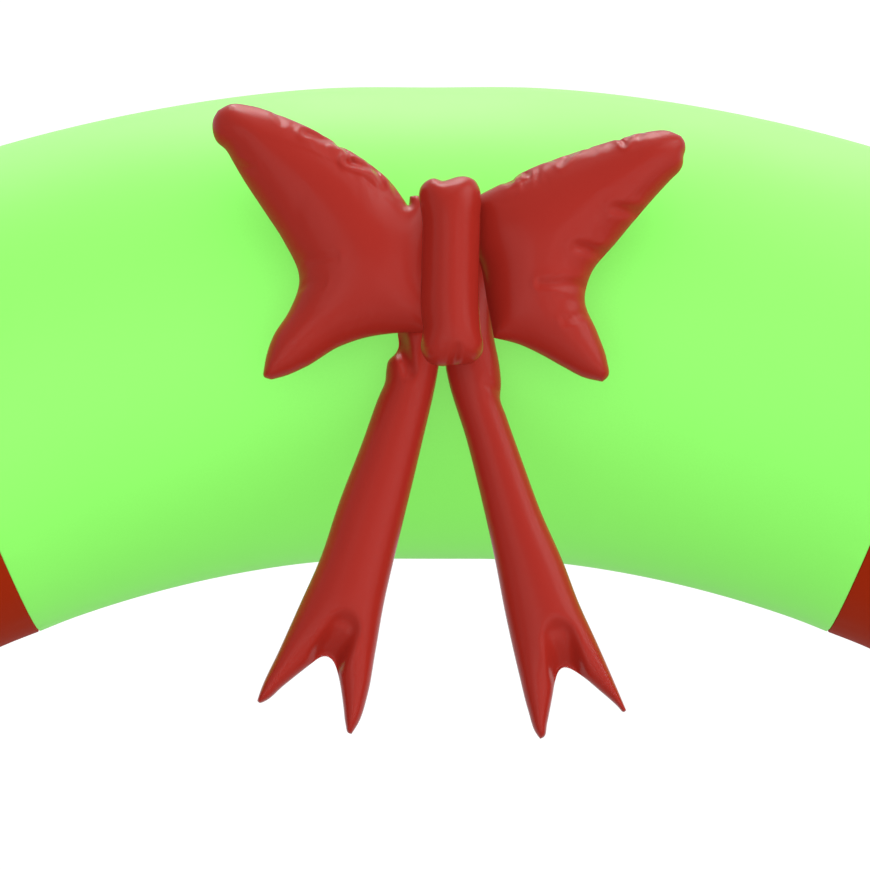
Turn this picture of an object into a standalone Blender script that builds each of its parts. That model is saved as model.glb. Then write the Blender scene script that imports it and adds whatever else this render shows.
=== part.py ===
# Walk-through inflatable arch: half a ring of tube in three colour panels, with an inflated bow on its front.
# Metres, +Z up, +X to the viewer's right, +Y away from the viewer.
# The origin is on the floor, in the middle of the whole object.

import math

import bmesh
import bpy
import numpy as np
from mathutils import Matrix, Vector
from mathutils.bvhtree import BVHTree

# Arch: the tube's middle line is a half circle whose centre is on the floor
ARCH_WIDTH = 6.0
TUBE_DIAMETER = 0.92
TUBE_RADIUS = TUBE_DIAMETER / 2
ARCH_RADIUS = (ARCH_WIDTH - TUBE_DIAMETER) / 2
CROWN_HALF_ANGLE = math.radians(21.73)
TUBE_SIDES = 64
CROWN_STEPS = 16
LEG_STEPS = 22

# The bow stands out in front, so the tube is set back by half of that to centre the whole object
TUBE_SETBACK = 0.094
TUBE_FRONT = TUBE_SETBACK - TUBE_RADIUS

# Clear distance between touching pieces
GAP = 0.0003
# Rounding of a curved front by its flat facets, allowed for where a piece lies against another
FACET_SLACK = 0.0002

# Bow: its middle lies a little to the right of the arch's
BOW_ACROSS = 0.032
BOW_HEIGHT = ARCH_RADIUS
# Length from its root over which a wing or tail is drawn in flat
ROOT_PINCH = 0.06

# Colours, roughness
GREEN_CLOTH = (0.23, 0.92, 0.14, 1.0)
RED_CLOTH = (0.30, 0.03, 0.012, 1.0)
RED_COATED = (0.42, 0.025, 0.018, 1.0)

# Outlines of the bow's pillows, each as four edges of (across, height) from the bow's middle.
# "root" and "end" both run from the "first" edge to the "second" edge.
WING_LEFT = {
    "first": [
        (-0.040, 0.120), (-0.066, 0.139), (-0.107, 0.182), (-0.159, 0.225), (-0.208, 0.256),
        (-0.316, 0.309), (-0.373, 0.328), (-0.411, 0.332), (-0.434, 0.319),
    ],
    "second": [(-0.030, -0.092), (-0.098, -0.099), (-0.159, -0.106), (-0.268, -0.158), (-0.341, -0.187)],
    "root": [(-0.040, 0.120), (-0.030, 0.015), (-0.030, -0.092)],
    "end": [
        (-0.434, 0.319), (-0.443, 0.285), (-0.390, 0.190), (-0.311, 0.074), (-0.281, 0.000),
        (-0.302, -0.060), (-0.337, -0.125), (-0.341, -0.187),
    ],
    "fullness": 0.092,
}
WING_RIGHT = {
    "first": [
        (0.030, 0.140), (0.056, 0.162), (0.112, 0.190), (0.202, 0.231), (0.310, 0.265),
        (0.405, 0.281), (0.434, 0.270),
    ],
    "second": [(0.030, -0.092), (0.082, -0.110), (0.169, -0.138), (0.247, -0.181), (0.289, -0.190)],
    "root": [(0.030, 0.140), (0.030, 0.025), (0.030, -0.092)],
    "end": [
        (0.434, 0.270), (0.441, 0.246), (0.419, 0.198), (0.357, 0.130), (0.309, 0.072),
        (0.258, 0.006), (0.250, -0.040), (0.273, -0.099), (0.292, -0.155), (0.289, -0.190),
    ],
    "fullness": 0.092,
}
KNOT = {
    "first": [(-0.054, 0.167), (-0.056, 0.080), (-0.056, -0.060), (-0.052, -0.143)],
    "second": [(0.054, 0.167), (0.056, 0.080), (0.056, -0.060), (0.054, -0.147)],
    "root": [(-0.054, 0.167), (-0.034, 0.181), (-0.014, 0.176), (0.020, 0.184), (0.042, 0.180), (0.054, 0.167)],
    "end": [(-0.052, -0.143), (-0.031, -0.166), (0.004, -0.160), (0.028, -0.158), (0.054, -0.147)],
    "fullness": 0.110,
}
TAIL_LEFT = {
    "first": [
        (-0.086, -0.060), (-0.100, -0.105), (-0.120, -0.160), (-0.133, -0.209), (-0.165, -0.298),
        (-0.242, -0.516), (-0.315, -0.683), (-0.355, -0.780),
    ],
    "second": [
        (-0.017, -0.060), (-0.020, -0.155), (-0.055, -0.308), (-0.086, -0.438), (-0.125, -0.596),
        (-0.156, -0.766), (-0.187, -0.838),
    ],
    "root": [(-0.086, -0.060), (-0.051, -0.055), (-0.017, -0.060)],
    "end": [
        (-0.355, -0.780), (-0.296, -0.735), (-0.252, -0.700), (-0.232, -0.694), (-0.214, -0.710),
        (-0.200, -0.777), (-0.187, -0.838),
    ],
    "fullness": 0.085,
}
TAIL_RIGHT = {
    "first": [
        (-0.012, -0.060), (-0.010, -0.150), (0.010, -0.230), (0.032, -0.302), (0.058, -0.408),
        (0.102, -0.622), (0.144, -0.797), (0.167, -0.846),
    ],
    "second": [
        (0.076, -0.060), (0.088, -0.145), (0.095, -0.205), (0.132, -0.328), (0.204, -0.516),
        (0.266, -0.668), (0.321, -0.800),
    ],
    "root": [(-0.012, -0.060), (0.032, -0.055), (0.076, -0.060)],
    "end": [
        (0.167, -0.846), (0.188, -0.772), (0.198, -0.729), (0.209, -0.716), (0.229, -0.725),
        (0.271, -0.760), (0.321, -0.800),
    ],
    "fullness": 0.085,
}

# Grid of each pillow: steps from root to end, steps from the first edge to the second
WING_GRID = (20, 18)
KNOT_GRID = (16, 12)
TAIL_GRID = (26, 12)


def clear_scene():
    for thing in list(bpy.data.objects):
        bpy.data.objects.remove(thing, do_unlink=True)


def make_material(name, colour, roughness):
    material = bpy.data.materials.new(name)
    material.use_nodes = True
    shader = material.node_tree.nodes["Principled BSDF"]
    shader.inputs["Base Color"].default_value = colour
    shader.inputs["Roughness"].default_value = roughness
    shader.inputs["Metallic"].default_value = 0.0
    return material


def add_piece(name, mesh, material, collection):
    """Object of one sub-part, shaded smooth"""
    mesh.materials.append(material)
    mesh.shade_smooth()
    mesh.set_sharp_from_angle(angle=math.radians(50))
    piece = bpy.data.objects.new(name, mesh)
    collection.objects.link(piece)
    return piece


def ring_panel(name, start, end, steps):
    """Length of the arch's tube between two angles from the top, positive to the right, with flat ends"""
    shape = bmesh.new()
    ring = bmesh.ops.create_circle(shape, cap_ends=False, radius=TUBE_RADIUS, segments=TUBE_SIDES)
    # The circle is stood up across the tube at the top of the arch, then swung to the panel's first end
    bmesh.ops.rotate(shape, verts=ring["verts"], cent=(0, 0, 0), matrix=turn_about("Y", math.pi / 2))
    bmesh.ops.translate(shape, verts=ring["verts"], vec=(0, 0, ARCH_RADIUS))
    bmesh.ops.rotate(shape, verts=ring["verts"], cent=(0, 0, 0), matrix=turn_about("Y", start))
    bmesh.ops.spin(
        shape, geom=shape.verts[:] + shape.edges[:], cent=(0, 0, 0), axis=(0, 1, 0),
        angle=end - start, steps=steps,
    )
    bmesh.ops.holes_fill(shape, edges=[edge for edge in shape.edges if edge.is_boundary], sides=0)
    bmesh.ops.recalc_face_normals(shape, faces=shape.faces)
    bmesh.ops.translate(shape, verts=shape.verts, vec=(0, TUBE_SETBACK, 0))
    mesh = bpy.data.meshes.new(name)
    shape.to_mesh(mesh)
    shape.free()
    return mesh


def turn_about(axis, angle):
    return Matrix.Rotation(angle, 3, axis)


def smooth_line(points, count):
    """Catmull-Rom curve through the points, read at count even steps of length"""
    points = np.array(points)
    reach = np.concatenate([[0.0], np.cumsum(np.linalg.norm(np.diff(points, axis=0), axis=1))])
    slopes = np.gradient(points, reach, axis=0)
    place = np.linspace(0.0, reach[-1], count)
    span = np.clip(np.searchsorted(reach, place, side="right") - 1, 0, len(points) - 2)
    length = (reach[span + 1] - reach[span])[:, None]
    t = (place - reach[span])[:, None] / length
    return (
        (2 * t**3 - 3 * t**2 + 1) * points[span]
        + (t**3 - 2 * t**2 + t) * length * slopes[span]
        + (3 * t**2 - 2 * t**3) * points[span + 1]
        + (t**3 - t**2) * length * slopes[span + 1]
    )


def outline_grid(outline, grid):
    """Grid that fills an outline: each point blends the four edges, less the blend of the four corners"""
    along, across = grid
    first = smooth_line(outline["first"], along + 1)[:, None]
    second = smooth_line(outline["second"], along + 1)[:, None]
    root = smooth_line(outline["root"], across + 1)[None]
    end = smooth_line(outline["end"], across + 1)[None]
    u = np.linspace(0.0, 1.0, along + 1)[:, None, None]
    v = np.linspace(0.0, 1.0, across + 1)[None, :, None]
    corners = (
        (1 - u) * (1 - v) * first[0, 0] + (1 - u) * v * second[0, 0]
        + u * (1 - v) * first[-1, 0] + u * v * second[-1, 0]
    )
    return (1 - v) * first + v * second + (1 - u) * root + u * end - corners


def half_thickness(grid, fullness, pinch):
    """Half the blown-up thickness at each grid point.

    It is the square root of a smooth distance to the rim, which near an edge is the plain distance,
    and it is drawn in over the pinch length from the root.
    """
    rim = np.concatenate([grid[:-1, 0], grid[-1, :-1], grid[:0:-1, -1], grid[0, :0:-1]])
    fine = 8
    steps = (np.arange(fine) + 0.5)[None, :, None] / fine
    following = np.roll(rim, -1, axis=0)
    samples = (rim[:, None] * (1 - steps) + following[:, None] * steps).reshape(-1, 2)
    lengths = np.repeat(np.linalg.norm(following - rim, axis=1) / fine, fine)
    inner = grid[1:-1, 1:-1].reshape(-1, 1, 2)
    nearness = np.sum(lengths / np.sum((inner - samples[None]) ** 2, axis=2), axis=1)
    distance = (math.pi / nearness).reshape(grid.shape[0] - 2, grid.shape[1] - 2)
    half = np.zeros(grid.shape[:2])
    half[1:-1, 1:-1] = np.sqrt(distance * fullness)
    if pinch:
        root_line = grid[0, -1] - grid[0, 0]
        sideways = np.array([-root_line[1], root_line[0]]) / np.linalg.norm(root_line)
        half *= np.clip(np.abs((grid - grid[0, 0]) @ sideways) / pinch, 0.0, 1.0)
    return half


def pillow(name, outline, grid_size, pinch=0.0):
    """Closed pillow on an outline: a front and a back sheet that share the rim, in front of the arch"""
    grid = outline_grid(outline, grid_size)
    half = half_thickness(grid, outline["fullness"], pinch)
    rows, columns = half.shape
    place = np.stack([grid[..., 0] + BOW_ACROSS, np.full_like(half, -1.0), grid[..., 1] + BOW_HEIGHT], axis=-1)
    lift = np.stack([np.zeros_like(half), half, np.zeros_like(half)], axis=-1)
    front = (place - lift).reshape(-1, 3)
    back = (place + lift)[1:-1, 1:-1].reshape(-1, 3)
    front_index = np.arange(rows * columns).reshape(rows, columns)
    back_index = front_index.copy()
    back_index[1:-1, 1:-1] = rows * columns + np.arange(len(back)).reshape(rows - 2, columns - 2)
    faces = quads(front_index) + quads(back_index[:, ::-1])
    mesh = bpy.data.meshes.new(name)
    mesh.from_pydata(np.concatenate([front, back]).tolist(), [], faces)
    shape = bmesh.new()
    shape.from_mesh(mesh)
    bmesh.ops.recalc_face_normals(shape, faces=shape.faces)
    shape.to_mesh(mesh)
    shape.free()
    return mesh


def quads(index):
    """Four-cornered faces over a grid of vertex numbers"""
    corners = np.stack([index[:-1, :-1], index[1:, :-1], index[1:, 1:], index[:-1, 1:]], axis=-1)
    return corners.reshape(-1, 4).tolist()


def lay_against(mesh, behind):
    """Moves a piece back along Y until it is a touching gap away from the pieces behind it"""
    away = Vector((0.0, 1.0, 0.0))
    own = surface_tree(mesh)
    clear = []
    for other in behind:
        tree = surface_tree(other)
        clear += [tree.ray_cast(vertex.co, away)[3] for vertex in mesh.vertices]
        clear += [own.ray_cast(vertex.co, -away)[3] for vertex in other.vertices]
    nearest = min(distance for distance in clear if distance is not None)
    mesh.transform(Matrix.Translation(away * (nearest - GAP - FACET_SLACK)))


def surface_tree(mesh):
    points = [vertex.co for vertex in mesh.vertices]
    return BVHTree.FromPolygons(points, [face.vertices[:] for face in mesh.polygons])


def build_arch(collection):
    green = make_material("green_cloth", GREEN_CLOTH, 0.6)
    red = make_material("red_cloth", RED_CLOTH, 0.6)
    # Each seam is a touching gap wide at the inside of the bend
    seam = GAP / (ARCH_RADIUS - TUBE_RADIUS)
    ground = math.pi / 2
    panels = {
        "crown_panel": (-CROWN_HALF_ANGLE, CROWN_HALF_ANGLE, CROWN_STEPS, green),
        "leg_panel_left": (-ground, -CROWN_HALF_ANGLE - seam, LEG_STEPS, red),
        "leg_panel_right": (CROWN_HALF_ANGLE + seam, ground, LEG_STEPS, red),
    }
    meshes = []
    for name, (start, end, steps, material) in panels.items():
        mesh = ring_panel(name, start, end, steps)
        add_piece(name, mesh, material, collection)
        meshes.append(mesh)
    return meshes


def build_bow(collection, arch):
    """Tails lie on the tube, the wings over both, and the knot over all"""
    red = make_material("red_coated_cloth", RED_COATED, 0.35)
    tails = [
        pillow("bow_tail_left", TAIL_LEFT, TAIL_GRID, ROOT_PINCH),
        pillow("bow_tail_right", TAIL_RIGHT, TAIL_GRID, ROOT_PINCH),
    ]
    wings = [
        pillow("bow_wing_left", WING_LEFT, WING_GRID, ROOT_PINCH),
        pillow("bow_wing_right", WING_RIGHT, WING_GRID, ROOT_PINCH),
    ]
    knot = pillow("bow_knot", KNOT, KNOT_GRID)
    for tail in tails:
        lay_against(tail, arch)
    for wing in wings:
        lay_against(wing, arch + tails)
    lay_against(knot, arch + tails + wings)
    for mesh in tails + wings + [knot]:
        add_piece(mesh.name, mesh, red, collection)


def main():
    clear_scene()
    collection = bpy.data.collections.new("inflatable_arch")
    bpy.context.scene.collection.children.link(collection)
    arch = build_arch(collection)
    build_bow(collection, arch)


main()
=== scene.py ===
import math

import bmesh
import bpy
import numpy as np
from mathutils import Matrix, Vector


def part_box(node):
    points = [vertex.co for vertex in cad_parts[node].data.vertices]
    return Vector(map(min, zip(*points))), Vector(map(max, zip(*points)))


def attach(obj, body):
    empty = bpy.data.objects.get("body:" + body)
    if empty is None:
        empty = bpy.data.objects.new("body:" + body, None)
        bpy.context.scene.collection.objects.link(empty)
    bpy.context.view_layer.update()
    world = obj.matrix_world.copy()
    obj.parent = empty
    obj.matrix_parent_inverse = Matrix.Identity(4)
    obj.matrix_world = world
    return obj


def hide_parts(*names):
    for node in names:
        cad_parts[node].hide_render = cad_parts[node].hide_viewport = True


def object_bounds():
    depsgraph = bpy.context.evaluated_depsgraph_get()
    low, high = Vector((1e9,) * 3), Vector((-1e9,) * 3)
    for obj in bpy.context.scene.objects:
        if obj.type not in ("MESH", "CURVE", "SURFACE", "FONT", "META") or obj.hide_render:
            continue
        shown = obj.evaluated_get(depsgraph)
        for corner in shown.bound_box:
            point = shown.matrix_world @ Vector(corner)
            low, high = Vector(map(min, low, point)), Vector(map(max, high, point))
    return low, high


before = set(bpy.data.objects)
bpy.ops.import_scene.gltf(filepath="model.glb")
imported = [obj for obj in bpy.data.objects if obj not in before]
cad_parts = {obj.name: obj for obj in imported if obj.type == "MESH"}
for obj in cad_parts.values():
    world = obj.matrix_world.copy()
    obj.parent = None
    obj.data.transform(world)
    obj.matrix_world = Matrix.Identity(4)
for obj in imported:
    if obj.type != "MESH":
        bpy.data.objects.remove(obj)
cadLow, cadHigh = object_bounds()
print("CAD frame loaded")

# places that several pieces share, in metres, worked out from the frame where it gives them
footLow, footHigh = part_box("leg_panel_left")
tubeRadius = (footHigh.y - footLow.y) / 2
archDepth = (footHigh.y + footLow.y) / 2      # y of the plane that holds the tube's middle line
archRadius = cadHigh.z - tubeRadius           # the middle line is a half circle about the origin
bowAcross = 0.032                             # the bow is sewn a little right of the arch's middle
bowHeight = archRadius                        # and its middle lies on the tube's middle line
touch = 0.0003                                # clear distance between pieces that touch
rootReach = 0.04                              # share of a pillow's length in which its root's bend dies out


def smoothLine(points, shares):
    # smooth line through the points: Hermite cubics whose slopes come from each point's neighbours,
    # read at the given shares of the line's length
    points = np.array(points, float)
    reach = np.concatenate([[0.0], np.cumsum(np.linalg.norm(np.diff(points, axis=0), axis=1))])
    slopes = np.gradient(points, reach, axis=0)
    place = shares * reach[-1]
    span = np.clip(np.searchsorted(reach, place, side="right") - 1, 0, len(points) - 2)
    length = (reach[span + 1] - reach[span])[:, None]
    t = (place - reach[span])[:, None] / length
    return (
        (2 * t**3 - 3 * t**2 + 1) * points[span]
        + (t**3 - 2 * t**2 + t) * length * slopes[span]
        + (3 * t**2 - 2 * t**3) * points[span + 1]
        + (t**3 - t**2) * length * slopes[span + 1]
    )


def blendEdges(first, second, root, end, alongShares, acrossShares):
    # Coons patch: the blend of the two long edges, plus what root and end differ from a straight
    # line there. The root's share dies out quickly, so its corners don't push past the long edges.
    u = alongShares[:, None, None]
    v = acrossShares[None, :, None]
    rootBend = root[None] - (1 - v) * first[0] - v * second[0]
    endBend = end[None] - (1 - v) * first[-1] - v * second[-1]
    rootShare = np.exp(-u / rootReach) * (1 - u)
    return (1 - v) * first[:, None] + v * second[:, None] + rootShare * rootBend + u * endBend


def rimOf(grid):
    # the grid's border, once round: up the first edge, along the end, down the second edge, and the root
    return np.concatenate([grid[:-1, 0], grid[-1, :-1], grid[:0:-1, -1], grid[0, :0:-1]])


def edgesOfRim(rim, rows, columns):
    # the inverse of rimOf: first, second, root and end edges, each with both of its corners
    long, short = rows - 1, columns - 1
    closed = np.concatenate([rim, rim[:1]])
    first = closed[:long + 1]
    end = closed[long:long + short + 1]
    second = closed[long + short:2 * long + short + 1][::-1]
    root = closed[2 * long + short:][::-1]
    return first, second, root, end


def gridFaces(index):
    # a four-cornered face in each gap of a grid of point numbers, taken once round
    corners = [index[:-1, :-1], index[1:, :-1], index[1:, 1:], index[:-1, 1:]]
    return np.stack(corners, axis=-1).reshape(-1, 4)


def newObject(name, points, faces, uv=None):
    # one mesh object at the origin, doubles merged and faces turned outwards, with each point's UV place
    mesh = bpy.data.meshes.new(name)
    mesh.from_pydata(np.asarray(points).tolist(), [], np.asarray(faces).tolist())
    if uv is not None:
        corners = np.empty(len(mesh.loops), dtype=np.int32)
        mesh.loops.foreach_get("vertex_index", corners)
        layer = mesh.uv_layers.new(name="cloth")
        layer.data.foreach_set("uv", np.asarray(uv, dtype=np.float32)[corners].ravel())
    shape = bmesh.new()
    shape.from_mesh(mesh)
    bmesh.ops.remove_doubles(shape, verts=shape.verts, dist=1e-6)
    bmesh.ops.recalc_face_normals(shape, faces=shape.faces)
    shape.to_mesh(mesh)
    shape.free()
    mesh.shade_smooth()
    piece = bpy.data.objects.new(name, mesh)
    bpy.context.scene.collection.objects.link(piece)
    return piece


def applyModifiers(piece):
    # the finished mesh takes the place of the one with live modifiers
    graph = bpy.context.evaluated_depsgraph_get()
    finished = bpy.data.meshes.new_from_object(piece.evaluated_get(graph))
    piece.modifiers.clear()
    piece.data = finished


def dress(piece, node, material):
    # every inflated piece stands for one CAD node and rides with the whole object
    piece.data.materials.clear()
    piece.data.materials.append(material)
    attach(piece, "root")
    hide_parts(node)


def makeGroup(name, inputs, outputs):
    # a shader node group with its named sockets, and its input and output nodes
    group = bpy.data.node_groups.new(name, "ShaderNodeTree")
    for label, kind, value in inputs:
        socket = group.interface.new_socket(label, in_out="INPUT", socket_type=kind)
        socket.default_value = value
    for label, kind in outputs:
        group.interface.new_socket(label, in_out="OUTPUT", socket_type=kind)
    return group, group.nodes.new("NodeGroupInput"), group.nodes.new("NodeGroupOutput")


def feed(tree, value, socket):
    # a socket takes either a plain number or another node's output
    if isinstance(value, (int, float)):
        socket.default_value = value
    else:
        tree.links.new(value, socket)


def mathNode(tree, operation, *values):
    # one sum, product, difference or sine of numbers and node outputs
    node = tree.nodes.new("ShaderNodeMath")
    node.operation = operation
    for socket, value in zip(node.inputs, values):
        feed(tree, value, socket)
    return node.outputs[0]


def noiseNode(tree, vector, scale, detail):
    # cloudy grey value at a place, with this many clouds for each metre
    node = tree.nodes.new("ShaderNodeTexNoise")
    node.inputs["Detail"].default_value = detail
    feed(tree, vector, node.inputs["Vector"])
    feed(tree, scale, node.inputs["Scale"])
    return node.outputs["Fac"]


weaveLook = {
    "slubSize": 0.45,        # slubs for each thread
    "slubDetail": 2.0,
    "cloudSize": 2.2,        # clouds in the dye for each metre
    "cloudDetail": 3.0,
    "relief": 0.25,          # height of the threads beside that of the slubs
    "wear": 0.12,            # how much the roughness changes from cloud to cloud
}


def makeWeave(look):
    # plain weave: warp and weft are sine waves across each other, with slubby threads and a cloudy dye
    group, given, result = makeGroup(
        "plainWeave",
        [
            ("Cloth Place", "NodeSocketVector", (0.0, 0.0, 0.0)),
            ("Dye", "NodeSocketColor", (0.5, 0.5, 0.5, 1.0)),
            ("Shade Dye", "NodeSocketColor", (0.4, 0.4, 0.4, 1.0)),
            ("Threads per Metre", "NodeSocketFloat", 800.0),
            ("Grain", "NodeSocketFloat", 0.1),
            ("Cloud", "NodeSocketFloat", 0.1),
            ("Roughness", "NodeSocketFloat", 0.5),
        ],
        [("Color", "NodeSocketColor"), ("Height", "NodeSocketFloat"), ("Roughness", "NodeSocketFloat")],
    )
    links = group.links
    place = given.outputs["Cloth Place"]
    split = group.nodes.new("ShaderNodeSeparateXYZ")
    links.new(place, split.inputs[0])
    turn = mathNode(group, "MULTIPLY", given.outputs["Threads per Metre"], math.pi)
    warp = mathNode(group, "SINE", mathNode(group, "MULTIPLY", split.outputs["X"], turn))
    weft = mathNode(group, "SINE", mathNode(group, "MULTIPLY", split.outputs["Y"], turn))
    weave = mathNode(group, "MULTIPLY", warp, weft)
    slubScale = mathNode(group, "MULTIPLY", given.outputs["Threads per Metre"], look["slubSize"])
    slub = noiseNode(group, place, slubScale, look["slubDetail"])
    cloud = noiseNode(group, place, look["cloudSize"], look["cloudDetail"])
    # how far the colour leans to the shade dye: half way, moved by thread grain and by cloud
    grainPart = mathNode(group, "MULTIPLY", mathNode(group, "SUBTRACT", slub, 0.5), given.outputs["Grain"])
    cloudPart = mathNode(group, "MULTIPLY", mathNode(group, "SUBTRACT", cloud, 0.5), given.outputs["Cloud"])
    lean = mathNode(group, "ADD", mathNode(group, "ADD", grainPart, cloudPart), 0.5)
    # the Mix node's sockets share their names, so its factor and colours are picked by number
    blend = group.nodes.new("ShaderNodeMix")
    blend.data_type = "RGBA"
    links.new(lean, blend.inputs[0])
    links.new(given.outputs["Dye"], blend.inputs[6])
    links.new(given.outputs["Shade Dye"], blend.inputs[7])
    links.new(blend.outputs[2], result.inputs["Color"])
    height = mathNode(group, "ADD", mathNode(group, "MULTIPLY", weave, look["relief"]), slub)
    links.new(height, result.inputs["Height"])
    worn = mathNode(group, "MULTIPLY", mathNode(group, "SUBTRACT", cloud, 0.5), look["wear"])
    links.new(mathNode(group, "ADD", given.outputs["Roughness"], worn), result.inputs["Roughness"])
    return group


def makeCloth(name, weave, look):
    # one cloth: the weave group feeds colour, roughness and bump, and the rest is set on the shader itself
    material = bpy.data.materials.new(name)
    material.use_nodes = True
    tree = material.node_tree
    shader = tree.nodes["Principled BSDF"]
    place = tree.nodes.new("ShaderNodeTexCoord")
    group = tree.nodes.new("ShaderNodeGroup")
    group.node_tree = weave
    tree.links.new(place.outputs["UV"], group.inputs["Cloth Place"])
    for label, key in (
        ("Dye", "dye"), ("Shade Dye", "shadeDye"), ("Threads per Metre", "threads"),
        ("Grain", "grain"), ("Cloud", "cloud"), ("Roughness", "roughness"),
    ):
        group.inputs[label].default_value = look[key]
    bump = tree.nodes.new("ShaderNodeBump")
    bump.inputs["Strength"].default_value = look["bumpStrength"]
    bump.inputs["Distance"].default_value = look["bumpDepth"]
    tree.links.new(group.outputs["Height"], bump.inputs["Height"])
    tree.links.new(group.outputs["Color"], shader.inputs["Base Color"])
    tree.links.new(group.outputs["Roughness"], shader.inputs["Roughness"])
    tree.links.new(bump.outputs["Normal"], shader.inputs["Normal"])
    shader.inputs["Specular IOR Level"].default_value = look["specular"]
    shader.inputs["Sheen Weight"].default_value = look["sheen"]
    shader.inputs["Sheen Roughness"].default_value = look["sheenRoughness"]
    return material


weave = makeWeave(weaveLook)
greenLook = {
    "dye": (0.163, 0.635, 0.074, 1.0), "shadeDye": (0.1516, 0.5906, 0.0688, 1.0),
    "threads": 550.0, "grain": 0.9, "cloud": 0.5, "bumpStrength": 0.12, "bumpDepth": 0.0006,
    "roughness": 0.6, "specular": 0.45, "sheen": 0.03, "sheenRoughness": 0.4,
}
redLook = {
    "dye": (0.215, 0.0128, 0.0012, 1.0), "shadeDye": (0.1935, 0.0115, 0.0011, 1.0),
    "threads": 550.0, "grain": 0.9, "cloud": 0.5, "bumpStrength": 0.12, "bumpDepth": 0.0006,
    "roughness": 0.6, "specular": 0.024, "sheen": 0.0, "sheenRoughness": 0.4,
}
bowLook = {
    "dye": (0.218, 0.0127, 0.008, 1.0), "shadeDye": (0.2049, 0.0119, 0.0075, 1.0),
    "threads": 900.0, "grain": 0.4, "cloud": 0.4, "bumpStrength": 0.05, "bumpDepth": 0.0003,
    "roughness": 0.25, "specular": 0.08, "sheen": 0.0, "sheenRoughness": 0.4,
}
greenCloth = makeCloth("greenCloth", weave, greenLook)
redCloth = makeCloth("redCloth", weave, redLook)
bowCloth = makeCloth("bowCloth", weave, bowLook)
print("materials made")


# arch: three lengths of blown-up tube
tubeLook = {
    "stepsRound": 128,
    "stepLength": 0.03,      # length of a step along the tube's middle line
    "endRings": (0.0, 0.25, 0.5, 0.75, 0.93),      # sizes of the rings over a flat end
    "edgeSteps": 6,          # rings round each rounded edge
    "seamEdge": 0.0035,      # rounding where two panels meet
    "footEdge": 0.03,        # rounding where a leg meets the floor
    "proud": 0.0035,         # the outer side of the bend stretches out by this at the top
    "dip": 0.007,            # the bow's weight pulls the crown down by this
    "dipSpread": 0.108,      # and this far to each side
    "swell": 0.0006,         # slow unevenness of the blown-up tube
    "pucker": 0.0008,        # gathers beside a seam or at the foot
    "puckerReach": 0.05,
    "calmEnds": 8,           # the power that keeps both off the flat ends
    "mostBulge": 0.004,      # furthest that the tube's wall may stand out
    # waves of each kind: how strong, how many along and round, and their start
    "swellWaves": ((1.0, 7, 2, 0.0), (0.6, 13, -3, 1.0)),
    "puckerWaves": ((1.0, 0, 46, 0.0), (0.7, 0, 31, 2.0), (0.5, 0, 73, 0.7)),
    "fill": 1.0,             # share of the CAD solid's space that the piece fills
}


def sumOfWaves(waves, angle, around):
    # each wave is strength * sin(its number along * angle + its number round * around + start)
    parts = [size * np.sin(along * angle + across * around + start) for size, along, across, start in waves]
    return sum(parts)


def archTube(name, startAngle, endAngle, look, startEdge, endEdge):
    # A tube bent on a circle: a point at angle a along the arch and b round the tube lies at centre(a)
    # + radius * (cos b * outwards(a) + sin b * backwards), and each end closes over a rounded edge.
    steps = round((endAngle - startAngle) * archRadius / look["stepLength"])
    curve = np.linspace(0.0, math.pi / 2, look["edgeSteps"])
    inside = np.array(look["endRings"])

    def closing(edge):
        # ring sizes and their distance from the end plane, from the middle of the end out over its edge
        size = np.concatenate([inside * (tubeRadius - edge), tubeRadius - edge * (1 - np.sin(curve))])
        inset = np.concatenate([np.zeros(len(inside)), edge * (1 - np.cos(curve))])
        return size, inset / archRadius

    startSize, startInset = closing(startEdge)
    endSize, endInset = closing(endEdge)
    body = np.linspace(startAngle + startInset[-1], endAngle - endInset[-1], steps + 1)[1:-1]
    angle = np.concatenate([startAngle + startInset, body, (endAngle - endInset)[::-1]])[:, None]
    size = np.concatenate([startSize, np.full(len(body), tubeRadius), endSize[::-1]])[:, None]
    # the first and last columns lie together and are merged with the doubles
    around = np.linspace(0.0, 2 * math.pi, look["stepsRound"] + 1)[None]

    # slow swell, and gathers that fade away from the panel's ends
    swell = look["swell"] * sumOfWaves(look["swellWaves"], angle, around)
    endDistance = archRadius * np.minimum(angle - startAngle, endAngle - angle)
    fade = np.exp(-(endDistance / look["puckerReach"]) ** 2)
    gathers = look["pucker"] * fade * sumOfWaves(look["puckerWaves"], angle, around)
    ringSize = size + (size / tubeRadius) ** look["calmEnds"] * (swell + gathers)
    ringSize = np.minimum(ringSize, tubeRadius + look["mostBulge"])

    stretch = look["proud"] * np.cos(angle) ** 2 * (1 + np.cos(around)) / 2
    outwards = archRadius + ringSize * np.cos(around) + stretch
    x = outwards * np.sin(angle)
    y = archDepth + ringSize * np.sin(around)
    z = outwards * np.cos(angle) - look["dip"] * np.exp(-0.5 * (x / look["dipSpread"]) ** 2)
    points = np.stack([x, y, z], axis=-1)
    index = np.arange(x.size).reshape(x.shape)
    uv = np.stack(np.broadcast_arrays(angle * archRadius, around * tubeRadius), axis=-1)
    return newObject(name, points.reshape(-1, 3), gridFaces(index), uv.reshape(-1, 2))


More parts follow.
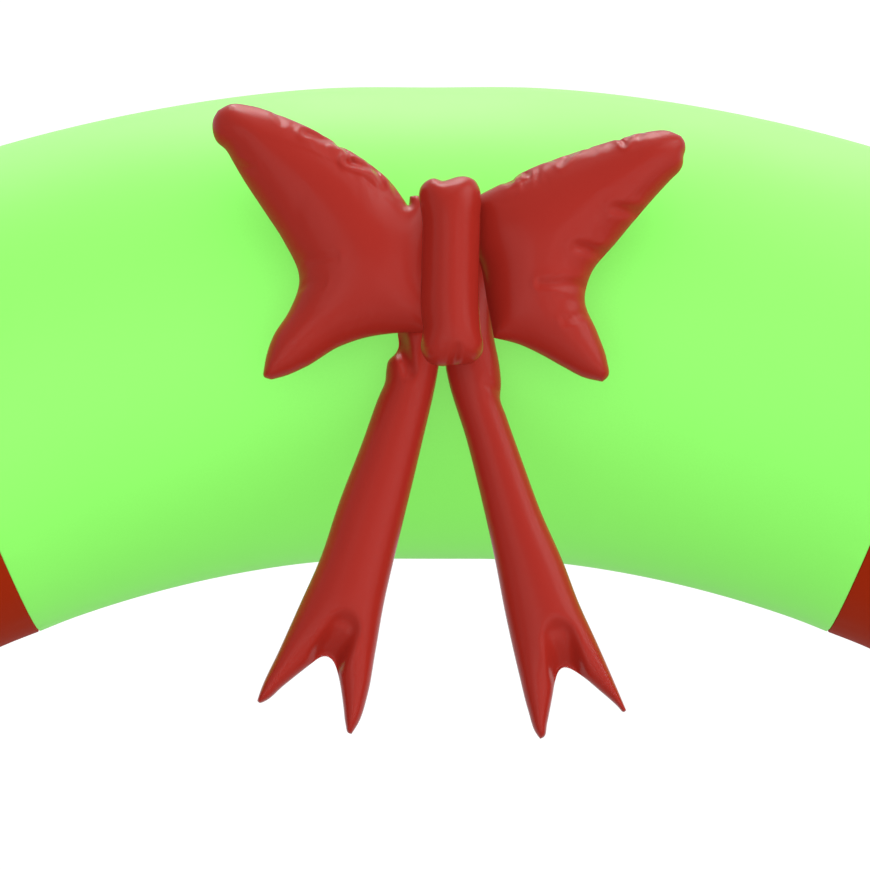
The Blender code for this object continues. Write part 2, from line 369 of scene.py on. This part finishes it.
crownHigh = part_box("crown_panel")[1]
crownAngle = math.asin(crownHigh.x / (archRadius + tubeRadius))
seamTurn = touch / (archRadius - tubeRadius)      # keeps the panels apart even on the inside of the bend
legAngle = crownAngle + seamTurn
floorAngle = math.pi / 2
seamEdge, footEdge = tubeLook["seamEdge"], tubeLook["footEdge"]
crown = archTube("crownTube", -crownAngle, crownAngle, tubeLook, seamEdge, seamEdge)
legLeft = archTube("leftLegTube", -floorAngle, -legAngle, tubeLook, footEdge, seamEdge)
legRight = archTube("rightLegTube", legAngle, floorAngle, tubeLook, seamEdge, footEdge)
dress(crown, "crown_panel", greenCloth)
dress(legLeft, "leg_panel_left", redCloth)
dress(legRight, "leg_panel_right", redCloth)
print("arch tubes made")


# bow: flat patterns sewn round their rim and blown up
def rimDistance(grid, samples=6):
    # smooth distance to the rim: pi over the sum of (rim length / distance squared), which is exact beside
    # a straight edge, with each step of the rim taken at a few sample points
    rim = rimOf(grid)
    following = np.roll(rim, -1, axis=0)
    t = (np.arange(samples) + 0.5)[None, :, None] / samples
    points = (rim[:, None] * (1 - t) + following[:, None] * t).reshape(-1, 2)
    lengths = np.repeat(np.linalg.norm(following - rim, axis=1) / samples, samples)
    inner = grid[1:-1, 1:-1].reshape(-1, 2)
    away = (inner[:, :1] - points[None, :, 0]) ** 2 + (inner[:, 1:] - points[None, :, 1]) ** 2
    distance = np.zeros(grid.shape[:2])
    distance[1:-1, 1:-1] = (math.pi / (lengths / away).sum(axis=1)).reshape(len(grid) - 2, -1)
    return distance


def blowUp(piece, look):
    # cloth simulation with air pressure and no gravity; gives the points of the last frame
    cloth = piece.modifiers.new("cloth", "CLOTH")
    settings = cloth.settings
    settings.quality = look["quality"]
    settings.mass = look["mass"]
    settings.tension_stiffness = look["tension"]
    settings.compression_stiffness = look["compression"]
    settings.shear_stiffness = look["shear"]
    settings.bending_stiffness = look["bending"]
    settings.use_pressure = True
    settings.uniform_pressure_force = look["pressure"]
    settings.effector_weights.gravity = 0.0
    cloth.collision_settings.use_collision = False
    cloth.point_cache.frame_start = 1
    cloth.point_cache.frame_end = look["frames"]
    scene = bpy.context.scene
    for step in range(1, look["frames"] + 1):
        scene.frame_set(step)
    graph = bpy.context.evaluated_depsgraph_get()
    blown = piece.evaluated_get(graph).to_mesh()
    points = np.empty(len(blown.vertices) * 3, dtype=np.float32)
    blown.vertices.foreach_get("co", points)
    piece.evaluated_get(graph).to_mesh_clear()
    piece.modifiers.clear()
    scene.frame_set(1)
    return points.reshape(-1, 3).astype(float)


def smoothRound(values, lengths, reach):
    # weighted average along a closed line: a bell curve of the distance along it
    place = np.concatenate([[0.0], np.cumsum(lengths)[:-1]])
    apart = np.abs(place[:, None] - place[None])
    apart = np.minimum(apart, lengths.sum() - apart)
    weight = np.exp(-0.5 * (apart / reach) ** 2) * (lengths + np.roll(lengths, 1))[None]
    return weight @ values / weight.sum(axis=1, keepdims=True)


def iron(sheet, rounds):
    # in each round, every inner point moves half way towards the mean of its four neighbours
    for _ in range(rounds):
        mean = (sheet[2:, 1:-1] + sheet[:-2, 1:-1] + sheet[1:-1, 2:] + sheet[1:-1, :-2]) / 4
        sheet[1:-1, 1:-1] += 0.5 * (mean - sheet[1:-1, 1:-1])
    return sheet


def tubeFrontAt(points):
    # y of the arch tube's front at each point: its middle plane less the root of radius squared - offset
    # squared, or endlessly far behind where the tube isn't
    offset = np.hypot(points[..., 0], points[..., 2]) - archRadius
    inside = np.clip(tubeRadius**2 - offset**2, 0.0, None)
    return np.where(inside > 0, archDepth - np.sqrt(inside), np.inf)


def letOut(grid):
    # subdividing draws the rim in by a quarter of the first step, so it starts a third of a step out
    wide = grid.copy()
    wide[0] += (grid[0] - grid[1]) / 3
    wide[-1] += (grid[-1] - grid[-2]) / 3
    wide[:, 0] += (grid[:, 0] - grid[:, 1]) / 3
    wide[:, -1] += (grid[:, -1] - grid[:, -2]) / 3
    return wide


def sidewaysOf(line):
    # the direction at a right angle to a line, one long
    return np.array([-line[1], line[0]]) / np.linalg.norm(line)


creaseLook = {
    "ridge": 0.33,           # a narrow fold pushes up by this share of its depth beside it
    "ridgePlace": 2.2,       # and this many widths away
    "narrow": 2,             # flatness of a narrow fold
    "fading": 0.6,           # share of the depth that is lost along its line
    "deepest": 1.4,          # most depth as a share of the sheet's own height, so it stops at the back
}


def creaseLift(outline, creases, look):
    # sum of creases: each is depth * exp(-(distance from its line / width)^flatness) and fades along its
    # line, and a narrow one has a ridge on each side, as folded cloth does
    lift = np.zeros(outline.shape[:2])
    for startX, startZ, endX, endZ, width, depth, flatness in creases:
        along = np.array([endX - startX, endZ - startZ])
        length = np.linalg.norm(along)
        offset = outline - np.array([startX, startZ])
        t = offset @ along / length**2
        nearest = np.clip(t, 0.0, 1.0)[..., None] * along
        distance = np.linalg.norm(offset - nearest, axis=-1)
        profile = np.exp(-(distance / width) ** flatness)
        if flatness == look["narrow"]:
            profile -= look["ridge"] * np.exp(-((distance / width - look["ridgePlace"]) ** 2))
        lift -= depth * profile * (1 - look["fading"] * np.clip(t, 0.0, 1.0))
    return lift


def crowdedShares(steps, crowding):
    # shares from 0 to 1 that lie closer together near both ends: a blend of t and (1 - cos(pi t)) / 2
    t = np.linspace(0.0, 1.0, steps + 1)
    return (1 - crowding) * t + crowding * (1 - np.cos(math.pi * t)) / 2


def readGrid(values, alongShares, acrossShares):
    # values between a grid's own points: straight blends of its neighbours along it, then across it
    for axis, shares in enumerate((alongShares, acrossShares)):
        place = shares * (values.shape[axis] - 1)
        lower = np.minimum(place.astype(int), values.shape[axis] - 2)
        share = (place - lower).reshape((-1, 1, 1) if axis == 0 else (1, -1, 1))
        values = np.take(values, lower, axis) * (1 - share) + np.take(values, lower + 1, axis) * share
    return values


def cutPattern(pattern, alongShares, acrossShares):
    # the flat cloth as a grid of (across, height), between smooth lines through the pattern's four edges
    first = smoothLine(pattern["first"], alongShares)
    second = smoothLine(pattern["second"], alongShares)
    root = smoothLine(pattern["root"], acrossShares)
    end = smoothLine(pattern["end"], acrossShares)
    return blendEdges(first, second, root, end, alongShares, acrossShares)


def twoSheets(rows, columns):
    # point numbers of a front and a back sheet that share their rim, and the faces over both
    front = np.arange(rows * columns).reshape(rows, columns)
    back = front.copy()
    back[1:-1, 1:-1] = rows * columns + np.arange((rows - 2) * (columns - 2)).reshape(rows - 2, columns - 2)
    return front, back, np.concatenate([gridFaces(front), gridFaces(back[:, ::-1])])


def shortWaves(sheet, along, across, look):
    # a sheet less the same sheet ironed, with its rim eased first: what is left is short waves only
    rows, columns = sheet.shape[:2]
    rim = rimOf(sheet)
    lengths = np.linalg.norm(np.roll(rim, -1, axis=0) - rim, axis=1)
    shift = smoothRound(rim, lengths, look["easing"]) - rim
    eased = sheet + blendEdges(*edgesOfRim(shift, rows, columns), along, across)
    return sheet - iron(eased, look["ironing"])


def clothGathers(name, pattern, look):
    # the short waves that blowing up adds to the flat cloth, sheet by sheet, where each wave w is held
    # under the most, m, by m * tanh(w / m)
    along, across = [np.linspace(0.0, 1.0, steps + 1) for steps in look["simGrid"]]
    outline = cutPattern(pattern, along, across)
    front, back, faces = twoSheets(*outline.shape[:2])
    start = np.minimum(rimDistance(outline), look["startHeight"])
    flat = [np.stack([outline[..., 0], side * start, outline[..., 1]], axis=-1) for side in (-1, 1)]
    points = np.concatenate([flat[0].reshape(-1, 3), flat[1][1:-1, 1:-1].reshape(-1, 3)])
    rough = newObject(name + "Rough", points, faces)
    blown = blowUp(rough, look)
    bpy.data.objects.remove(rough, do_unlink=True)
    most = np.array(look["mostGather"])
    waves = [
        shortWaves(blown[part], along, across, look) - shortWaves(sheet, along, across, look)
        for part, sheet in zip((front, back), flat)
    ]
    return [most * np.tanh(wave / most) for wave in waves]


def sewnPillow(name, node, pattern, look):
    # The calm body is a sheet at (half of the CAD piece's thickness + proud) * (distance to the rim /
    # greatest distance)^round from the middle plane. Creases and the simulated gathers are added to it.
    along, across = [crowdedShares(steps, look["crowding"]) for steps in look["grid"]]
    outline = cutPattern(pattern, along, across)
    distance = rimDistance(outline)
    low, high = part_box(node)
    thick = ((high.y - low.y) / 2 + look["proud"]) * (distance / distance.max()) ** look["round"]
    fromRoot = np.abs((outline - outline[0, 0]) @ sidewaysOf(outline[0, -1] - outline[0, 0]))
    drawnIn = [np.clip(fromRoot / reach, 0.0, 1.0) if reach else 1.0 for reach in look["drawnIn"]]
    deepest = creaseLook["deepest"] * np.maximum(thick, look["leastHeight"])
    creased = thick + deepest * np.tanh(creaseLift(outline, pattern["creases"], creaseLook) / deepest)
    wide = letOut(outline)
    sheets = [
        np.stack([wide[..., 0], -creased * drawnIn[0], wide[..., 1]], axis=-1),
        np.stack([wide[..., 0], look["backFullness"] * thick * drawnIn[1], wide[..., 1]], axis=-1),
    ]
    climb = (outline[..., 1] - look["calmBelow"]) / (look["gatherAbove"] - look["calmBelow"])
    lively = look["calm"] + (1 - look["calm"]) * np.clip(climb, 0.0, 1.0)
    fade = np.exp(-((distance / look["gatherReach"]) ** 2)) * lively
    fade *= np.clip((fromRoot - look["calmRoot"]) / look["rootFade"], 0.0, 1.0)
    fade *= np.clip((look["calmEnd"] - along[:, None]) / look["endFade"], 0.0, 1.0)
    for sheet, gathers in zip(sheets, clothGathers(name, pattern, look)):
        sheet += look["gather"] * fade[..., None] * readGrid(gathers, along, across)
    place = np.array([bowAcross, (low.y + high.y) / 2, bowHeight])
    sheets = [sheet + place for sheet in sheets]
    for sheet in sheets:
        sheet[..., 1] = np.minimum(sheet[..., 1], tubeFrontAt(sheet) - 2 * touch)
    points = np.concatenate([sheets[0].reshape(-1, 3), sheets[1][1:-1, 1:-1].reshape(-1, 3)])
    backCloth = outline[1:-1, 1:-1].reshape(-1, 2) + look["backCloth"]
    uv = np.concatenate([outline.reshape(-1, 2), backCloth])
    faces = twoSheets(*outline.shape[:2])[2]
    piece = newObject(name, points, faces, uv)
    finer = piece.modifiers.new("finer", "SUBSURF")
    finer.levels = finer.render_levels = 1
    applyModifiers(piece)
    print(name, "blown up", np.ptp(points, axis=0).round(3).tolist())
    return piece


pillowLook = {
    # cloth simulation: its grid of steps, stiffness, weight, air and length
    "simGrid": (76, 58), "tension": 40.0, "compression": 40.0, "shear": 20.0, "bending": 0.1,
    "mass": 0.3, "pressure": 10.0, "quality": 6, "frames": 20,
    "startHeight": 0.004,    # most height of the sheets before the air comes in
    # calm body
    "grid": (150, 70),
    "crowding": 0.7,         # how much closer together the steps lie near the rim
    "round": 0.58,           # 0.5 is as round as a tube, 1 is a roof
    "proud": 0.008,          # cloth stands this far out from the CAD solid
    "drawnIn": (0.0, 0.0),   # length from the root over which the front and the back rise
    "backFullness": 1.0,
    "leastHeight": 1e-6,
    "backCloth": 1.0,        # the back is cut this much further along and across the cloth
    # gathers
    "easing": 0.012,         # reach of the average that smooths the rim
    "ironing": 40,
    "mostGather": (0.002, 0.006, 0.002),           # furthest across, out and up
    "gather": 1.7,           # how strongly the simulated gathers show
    "gatherReach": 0.035,    # they fade this far in from the rim
    "calm": 0.2,             # share of them that is left at the bottom
    "calmBelow": -0.05,
    "gatherAbove": 0.15,
    "calmRoot": 0.03,        # no gathers nearer to the root
    "rootFade": 0.06,
    "calmEnd": 0.93,         # no gathers beyond this share of the way to the end
    "endFade": 0.12,
    "fill": 0.9,             # share of the CAD solid's space that the piece fills
}


# each piece has its outline, as four edges of (across, height) from the bow's middle in metres, and its
# creases, each from (x, z) at or near the rim to (x, z), with width, depth and flatness
wingLeft = {
    "first": [
        (-0.076, 0.158), (-0.079, 0.141), (-0.087, 0.152), (-0.107, 0.180), (-0.159, 0.225),
        (-0.208, 0.255), (-0.263, 0.287), (-0.316, 0.310), (-0.373, 0.329), (-0.411, 0.332),
        (-0.434, 0.320),
    ],
    "second": [
        (-0.046, -0.098), (-0.098, -0.099), (-0.159, -0.108), (-0.205, -0.124), (-0.268, -0.162),
        (-0.306, -0.179), (-0.332, -0.186),
    ],
    "root": [
        (-0.076, 0.158), (-0.060, 0.159), (-0.046, 0.148), (-0.038, 0.110), (-0.036, 0.015),
        (-0.036, -0.075), (-0.046, -0.098),
    ],
    "end": [
        (-0.434, 0.320), (-0.443, 0.303), (-0.444, 0.283), (-0.440, 0.268), (-0.433, 0.257),
        (-0.424, 0.251), (-0.405, 0.222), (-0.390, 0.196), (-0.347, 0.130), (-0.311, 0.074),
        (-0.281, 0.000), (-0.300, -0.058), (-0.329, -0.104), (-0.346, -0.165), (-0.347, -0.180),
        (-0.332, -0.186),
    ],
    "creases": [
        (-0.327, 0.310, -0.312, 0.286, 0.005, 0.008, 2),
        (-0.270, 0.271, -0.206, 0.252, 0.006, 0.011, 2),
        (-0.238, 0.278, -0.226, 0.258, 0.005, 0.006, 2),
        (-0.200, 0.250, -0.185, 0.216, 0.005, 0.010, 2),
        (-0.190, 0.214, -0.142, 0.202, 0.006, 0.012, 2),
        (-0.152, 0.218, -0.137, 0.188, 0.005, 0.006, 2),
        (-0.138, 0.206, -0.124, 0.170, 0.005, 0.009, 2),
        (-0.108, 0.180, -0.100, 0.158, 0.005, 0.008, 2),
        (-0.394, 0.211, -0.368, 0.203, 0.006, 0.007, 2),
        (-0.288, 0.034, -0.211, 0.032, 0.005, 0.007, 2),
        (-0.282, -0.016, -0.235, -0.014, 0.005, 0.007, 2),
    ],
}
wingRight = {
    "first": [
        (0.036, 0.150), (0.056, 0.162), (0.112, 0.190), (0.153, 0.212), (0.202, 0.231),
        (0.254, 0.248), (0.310, 0.265), (0.358, 0.278), (0.405, 0.282), (0.430, 0.272),
    ],
    "second": [
        (0.080, -0.108), (0.126, -0.120), (0.169, -0.140), (0.210, -0.163), (0.247, -0.182),
        (0.281, -0.190),
    ],
    "root": [
        (0.036, 0.150), (0.036, 0.090), (0.044, 0.055), (0.053, 0.035), (0.066, -0.030),
        (0.080, -0.108),
    ],
    "end": [
        (0.430, 0.272), (0.437, 0.260), (0.438, 0.246), (0.434, 0.233), (0.434, 0.222),
        (0.428, 0.207), (0.414, 0.193), (0.357, 0.130), (0.309, 0.072), (0.260, 0.010),
        (0.249, -0.035), (0.273, -0.099), (0.290, -0.150), (0.292, -0.180), (0.281, -0.190),
    ],
    "creases": [
        (0.125, 0.200, 0.140, 0.196, 0.005, 0.008, 2),
        (0.224, 0.242, 0.206, 0.211, 0.005, 0.011, 2),
        (0.240, 0.245, 0.214, 0.216, 0.004, 0.007, 2),
        (0.178, 0.226, 0.205, 0.220, 0.005, 0.006, 2),
        (0.312, 0.268, 0.322, 0.247, 0.004, 0.011, 2),
        (0.334, 0.273, 0.324, 0.247, 0.004, 0.010, 2),
        (0.360, 0.280, 0.350, 0.262, 0.004, 0.008, 2),
        (0.352, 0.122, 0.304, 0.127, 0.007, 0.016, 2),
        (0.290, 0.044, 0.232, 0.054, 0.007, 0.016, 2),
        (0.256, -0.014, 0.164, -0.017, 0.006, 0.013, 2),
        (0.262, -0.062, 0.210, -0.084, 0.006, 0.008, 2),
    ],
}
knotShape = {
    "first": [
        (-0.050, 0.174), (-0.056, 0.166), (-0.059, 0.153), (-0.057, 0.136), (-0.054, 0.115),
        (-0.054, 0.020), (-0.054, -0.075), (-0.051, -0.095), (-0.053, -0.112), (-0.055, -0.130),
        (-0.052, -0.146), (-0.045, -0.157),
    ],
    "second": [
        (0.050, 0.172), (0.054, 0.163), (0.056, 0.152), (0.055, 0.105), (0.053, 0.030),
        (0.054, -0.083), (0.056, -0.106), (0.060, -0.128), (0.058, -0.143), (0.051, -0.154),
    ],
    "root": [
        (-0.050, 0.174), (-0.042, 0.180), (-0.031, 0.183), (-0.022, 0.181), (-0.015, 0.179),
        (-0.004, 0.181), (0.013, 0.186), (0.026, 0.187), (0.037, 0.184), (0.045, 0.179),
        (0.050, 0.172),
    ],
    "end": [
        (-0.045, -0.157), (-0.037, -0.163), (-0.025, -0.167), (-0.012, -0.168), (0.002, -0.165),
        (0.026, -0.165), (0.043, -0.160), (0.051, -0.154),
    ],
    "creases": [
        (-0.018, 0.182, -0.015, 0.170, 0.006, 0.005, 2),
        (0.004, -0.168, 0.012, -0.140, 0.006, 0.010, 2),
    ],
}
tailLeft = {
    "first": [
        (-0.097, 0.000), (-0.099, -0.090), (-0.098, -0.122), (-0.106, -0.134), (-0.116, -0.143),
        (-0.120, -0.160), (-0.122, -0.183), (-0.133, -0.209), (-0.165, -0.298), (-0.207, -0.408),
        (-0.243, -0.516), (-0.280, -0.600), (-0.317, -0.683), (-0.354, -0.765), (-0.358, -0.778),
    ],
    "second": [
        (-0.008, 0.000), (-0.022, -0.155), (-0.055, -0.308), (-0.086, -0.438), (-0.105, -0.516),
        (-0.123, -0.596), (-0.139, -0.688), (-0.153, -0.766), (-0.170, -0.819), (-0.183, -0.840),
    ],
    "root": [(-0.097, 0.000), (-0.050, 0.000), (-0.008, 0.000)],
    "end": [
        (-0.358, -0.778), (-0.354, -0.783), (-0.345, -0.780), (-0.310, -0.751), (-0.279, -0.726),
        (-0.256, -0.708), (-0.242, -0.697), (-0.232, -0.694), (-0.222, -0.698), (-0.213, -0.713),
        (-0.208, -0.731), (-0.199, -0.785), (-0.194, -0.824), (-0.190, -0.838), (-0.183, -0.840),
    ],
    "creases": [
        (-0.226, -0.700, -0.198, -0.648, 0.027, 0.060, 4),
        (-0.094, -0.107, -0.077, -0.170, 0.012, 0.024, 3),
    ],
}
tailRight = {
    "first": [
        (0.000, 0.070), (-0.009, -0.158), (0.032, -0.302), (0.058, -0.408), (0.080, -0.507),
        (0.102, -0.622), (0.126, -0.729), (0.143, -0.797), (0.157, -0.838), (0.165, -0.849),
    ],
    "second": [
        (0.074, 0.070), (0.083, -0.111), (0.090, -0.145), (0.094, -0.195), (0.092, -0.212),
        (0.103, -0.246), (0.132, -0.328), (0.168, -0.427), (0.207, -0.516), (0.239, -0.600),
        (0.270, -0.668), (0.304, -0.746), (0.325, -0.796),
    ],
    "root": [(0.000, 0.070), (0.037, 0.070), (0.074, 0.070)],
    "end": [
        (0.165, -0.849), (0.172, -0.846), (0.178, -0.822), (0.188, -0.772), (0.196, -0.732),
        (0.201, -0.720), (0.208, -0.715), (0.218, -0.717), (0.237, -0.728), (0.275, -0.759),
        (0.310, -0.790), (0.320, -0.800), (0.325, -0.796),
    ],
    "creases": [
        (0.214, -0.722, 0.201, -0.663, 0.027, 0.060, 4),
        (0.097, -0.207, 0.067, -0.194, 0.006, 0.008, 2),
    ],
}

tailLook = dict(pillowLook, simGrid=(90, 18), grid=(130, 34), drawnIn=(0.10, 0.10), gather=0.25, round=0.52)
wingLook = dict(pillowLook, drawnIn=(0.0, 0.10))
knotLook = dict(
    pillowLook, simGrid=(50, 20), grid=(72, 40), gather=0.3, calmRoot=-0.1, round=0.56, backFullness=0.35)
bowPieces = [
    ("leftTail", "bow_tail_left", tailLeft, tailLook),
    ("rightTail", "bow_tail_right", tailRight, dict(tailLook, drawnIn=(0.17, 0.17))),
    ("leftWing", "bow_wing_left", wingLeft, wingLook),
    ("rightWing", "bow_wing_right", wingRight, wingLook),
    ("knot", "bow_knot", knotShape, knotLook),
]
for pieceName, node, pattern, look in bowPieces:
    piece = sewnPillow(pieceName, node, pattern, look)
    dress(piece, node, bowCloth)
print("bow made")


# stage: pale floor, a white sky all round, and broad shadowless fills for a studio's large soft panels
stageLook = {
    "floorSize": 120.0,
    "floorColour": (0.36, 0.36, 0.36, 1.0),
    "floorRoughness": 0.9,
    "skyColour": (1.0, 1.0, 1.0, 1.0),
    "sky": 1.07,
    # name, strength, width, and turn from shining straight down, in degrees
    "fills": [
        ("topFill", 0.20, 30.0, (15.0, 0.0, 0.0)),
        ("backFill", 1.85, 40.0, (-21.0, 0.0, 0.0)),
        ("rimFill", 0.40, 10.0, (-14.0, 0.0, 0.0)),
        ("upperRightFill", 0.80, 40.0, (45.0, 0.0, 60.0)),
        ("rightFill", 1.05, 40.0, (60.0, 0.0, 80.0)),
        ("frontRightFill", 0.30, 50.0, (75.0, 0.0, 60.0)),
        ("lowerRightFill", 0.38, 40.0, (110.0, 0.0, 70.0)),
        ("lowRightFill", 0.69, 50.0, (105.0, 0.0, 40.0)),
        ("lowLeftFill", 0.76, 50.0, (100.0, 0.0, -30.0)),
        ("underFill", 1.13, 80.0, (125.0, 0.0, 0.0)),
    ],
}


def makeStage(look):
    # the floor is a square just under the feet, and each fill is a sun that casts no shadow
    half = look["floorSize"] / 2
    corners = [(-half, -half, -touch), (half, -half, -touch), (half, half, -touch), (-half, half, -touch)]
    floor = newObject("floor", corners, [(0, 1, 2, 3)])
    paint = bpy.data.materials.new("floorPaint")
    paint.use_nodes = True
    shader = paint.node_tree.nodes["Principled BSDF"]
    shader.inputs["Base Color"].default_value = look["floorColour"]
    shader.inputs["Roughness"].default_value = look["floorRoughness"]
    floor.data.materials.append(paint)

    world = bpy.data.worlds.new("softSky")
    bpy.context.scene.world = world
    world.use_nodes = True
    background = world.node_tree.nodes["Background"]
    background.inputs["Color"].default_value = look["skyColour"]
    background.inputs["Strength"].default_value = look["sky"]

    for name, strength, width, turn in look["fills"]:
        sun = bpy.data.lights.new(name, "SUN")
        sun.energy = strength
        sun.angle = math.radians(width)
        sun.use_shadow = False
        sun.cycles.use_multiple_importance_sampling = False
        lamp = bpy.data.objects.new(name, sun)
        lamp.rotation_euler = [math.radians(part) for part in turn]
        bpy.context.scene.collection.objects.link(lamp)


# camera: as high as a grown person's chest and far off, looking a little up through a long lens
cameraLook = {
    "across": 0.003, "distance": 10.0, "height": 1.125,
    "tilt": 6.784,           # degrees up from level
    "lens": 213.1, "sensor": 36.0, "farthest": 500.0,
}


def makeCamera(look):
    # the camera stands in front of the arch and is turned up from level by its tilt
    camera = bpy.data.cameras.new("camera")
    camera.lens = look["lens"]
    camera.sensor_width = look["sensor"]
    camera.clip_end = look["farthest"]
    eye = bpy.data.objects.new("camera", camera)
    eye.location = (look["across"], archDepth - look["distance"], look["height"])
    eye.rotation_euler = (math.radians(90.0 + look["tilt"]), 0.0, 0.0)
    bpy.context.scene.collection.objects.link(eye)
    bpy.context.scene.camera = eye
    bpy.context.scene.view_settings.view_transform = "Standard"


makeStage(stageLook)
makeCamera(cameraLook)
print("stage and camera made")
